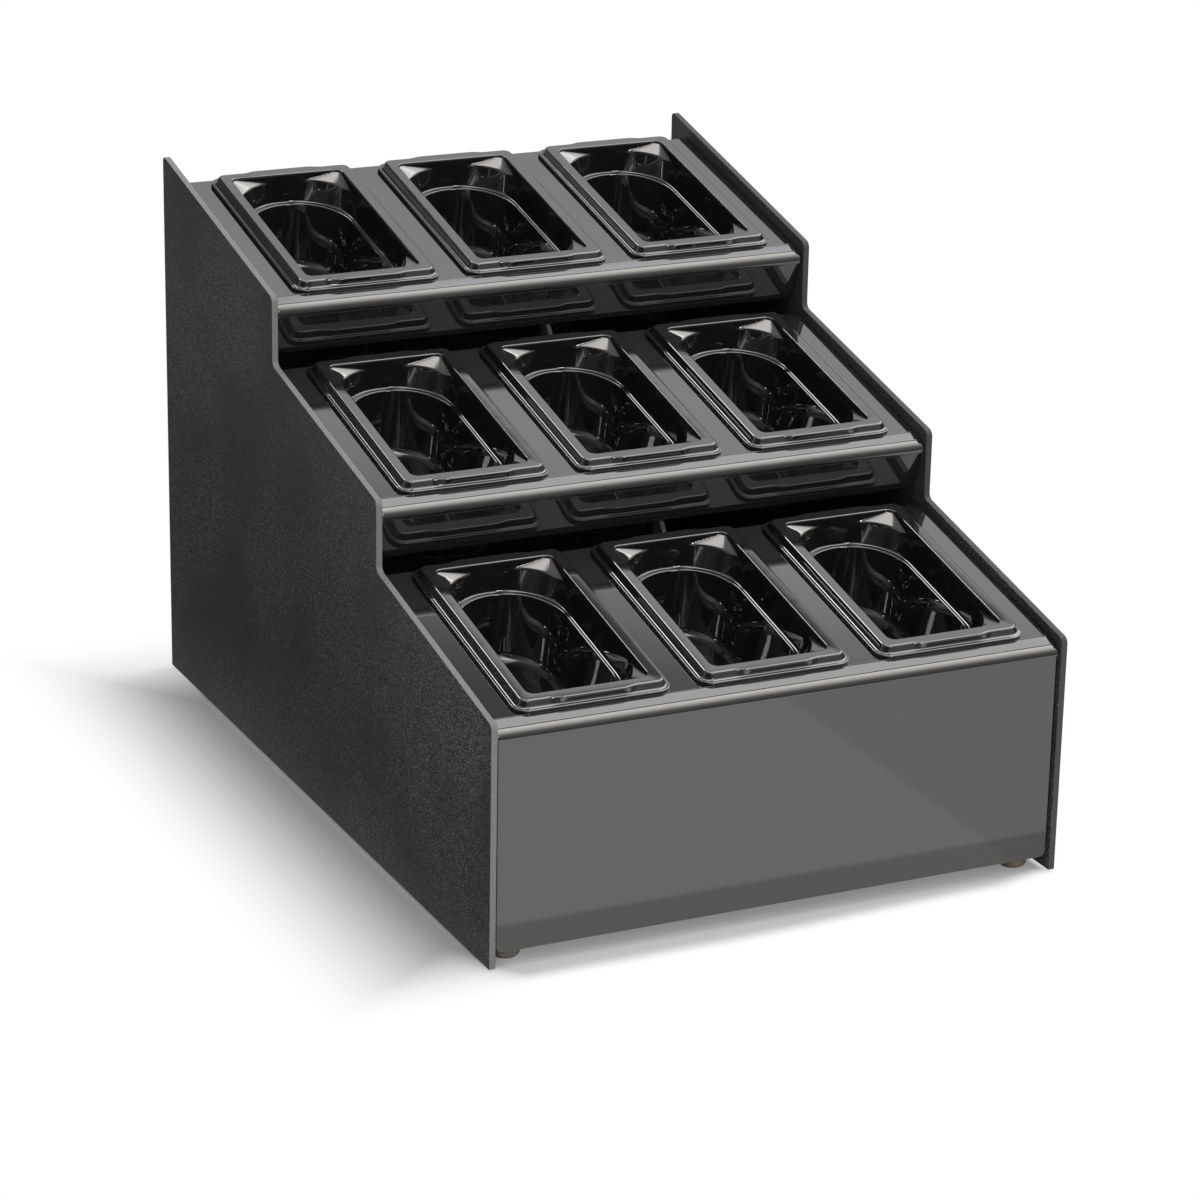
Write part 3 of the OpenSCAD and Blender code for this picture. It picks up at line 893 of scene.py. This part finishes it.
def lamp_spot(azimuth, elevation, inner, outer):
    """A round patch of sky, one inside the inner angle and nothing beyond the outer one."""
    turn, rise = math.radians(azimuth), math.radians(elevation)
    middle = (math.sin(turn) * math.cos(rise), math.cos(turn) * math.cos(rise), math.sin(rise))
    nearness = studio.node("ShaderNodeVectorMath", {"operation": "DOT_PRODUCT"},
                           {0: direction, 1: middle}, "Value")
    return nearness.ramp(math.cos(math.radians(outer)), math.cos(math.radians(inner)))


# %% [markdown]
# Each ramp below reads as degrees of lift from the horizon behind the stand up over it, or as a
# share of the way to the east, and then as two levels of brightness.

# %% Paint what the gloss mirrors
slant = lift - 24 * (east - 0.4)
wall = lift.ramp(5, 30, 0.6, 0.7) * lift.ramp(36, 45, 1.0, 1.23)
wall = wall * slant.ramp(44.3, 47.8, 1.0, 0.18)
wall = wall * east.ramp(-0.5, 0.0, 0.35, 1.0) * lift.ramp(70, 90, 1, 0)
panel = lift.ramp(51, 57) * 0.60 + lift.ramp(64, 76) * 0.40
panel = panel * lift.ramp(88, 168, 1.0, 0.09)
panel_gap = abs(east - 0.27).ramp(0.05, 0.08, 0.25, 1.0)
panel = panel * panel_gap * east.ramp(-0.12, -0.03, 0.12, 1.0) * east.ramp(0.75, 0.9, 1.0, 0.3)
glow = wall + 2.45 * panel
glow = glow + 1.6 * lamp_spot(azimuth=60, elevation=38, inner=10, outer=14)
glow = glow + 6.4 * lamp_spot(azimuth=-4, elevation=56, inner=6, outer=9)
glow = glow + 13.0 * lamp_spot(azimuth=166, elevation=20, inner=3.5, outer=5)
warmth = lift.ramp(56, 72, -0.02, 0.035)
mirror_sky = studio.node("ShaderNodeCombineXYZ", None,
                         {0: glow * (1 + warmth), 1: glow, 2: glow * (1 - warmth)})
print("mirrored sky painted,", len(studio.tree.nodes), "nodes so far")

# %% [markdown]
# The matt level and the camera's white go on top, and one soft lamp from the right shades the
# form and casts the shadow. It is hidden from gloss, where the painted panel takes its place.

# %% Join the sky and hang the lamp
open_side = (east - 0.6 * north).ramp(-0.9, 0.2, 0.12, 1.0) * 0.82
matt_sky = studio.node("ShaderNodeCombineXYZ", None, {0: open_side, 1: open_side, 2: open_side})
hidden_sky = studio.mix(mirrored, matt_sky, mirror_sky)
studio.feed(sky.inputs["Color"], studio.mix(seen, hidden_sky, (1, 1, 1, 1)))
sky.inputs["Strength"].default_value = 1.0


def softbox(name, place, aim, width, length, radiance):
    """A rectangular lamp of even brightness, turned to face a point."""
    lamp = bpy.data.lights.new(name, "AREA")
    lamp.shape = "RECTANGLE"
    lamp.size = width
    lamp.size_y = length
    lamp.energy = radiance * math.pi * width * length
    holder = bpy.data.objects.new(name, lamp)
    bpy.context.scene.collection.objects.link(holder)
    holder.location = place
    holder.rotation_euler = (Vector(aim) - Vector(place)).to_track_quat("-Z", "Y").to_euler()
    holder.visible_glossy = False
    return holder


lamp = softbox("right_softbox", place=(1.5, 0.3, 1.8), aim=(0, 0, 0.1),
               width=1.6, length=1.6, radiance=3.6)
print("lamp of", round(lamp.data.energy, 1), "watts")

# %% [markdown]
# The camera stands where the photographer's did. Its place was worked out from the stand's own
# side panels, so it is written as an azimuth, an elevation, a roll and a distance. The unit of
# that work was the width over both panels, before it was rounded to 406 mm.

# %% Camera
UNIT = 406.4 * MM
SENSOR = 36
FOCAL_PIXELS, FRAME_PIXELS = 4035.5, 1200
HALF_DEPTH = 291.5 * MM
AIM_BACK, AIM_UP = 0.6, 0.5
SHIFT_RIGHT, SHIFT_UP, DISTANCE = -0.034, -0.159, 6.673
azimuth, elevation, roll = (math.radians(a) for a in (-25.56, 19.55, 1.11))
back = Vector((math.sin(azimuth) * math.cos(elevation), -math.cos(azimuth) * math.cos(elevation),
               math.sin(elevation)))
level_right = Vector((math.cos(azimuth), math.sin(azimuth), 0))
level_up = back.cross(level_right)
right = math.cos(roll) * level_right + math.sin(roll) * level_up
up = math.cos(roll) * level_up - math.sin(roll) * level_right
aim = Vector((0, AIM_BACK * UNIT - HALF_DEPTH, AIM_UP * UNIT + FOOT_LIFT))
spot = aim + (SHIFT_RIGHT * level_right + SHIFT_UP * level_up + DISTANCE * back) * UNIT
camera_data = bpy.data.cameras.new("camera")
camera_data.sensor_width = SENSOR
camera_data.lens = FOCAL_PIXELS / FRAME_PIXELS * SENSOR
camera_data.clip_end = 100
camera = bpy.data.objects.new("camera", camera_data)
bpy.context.scene.collection.objects.link(camera)
turn = Matrix((right, up, back)).transposed().to_4x4()
camera.matrix_world = Matrix.Translation(spot) @ turn
bpy.context.scene.camera = camera
bpy.context.scene.view_settings.view_transform = "Standard"
print("camera", round((spot - aim).length, 3), "m away")
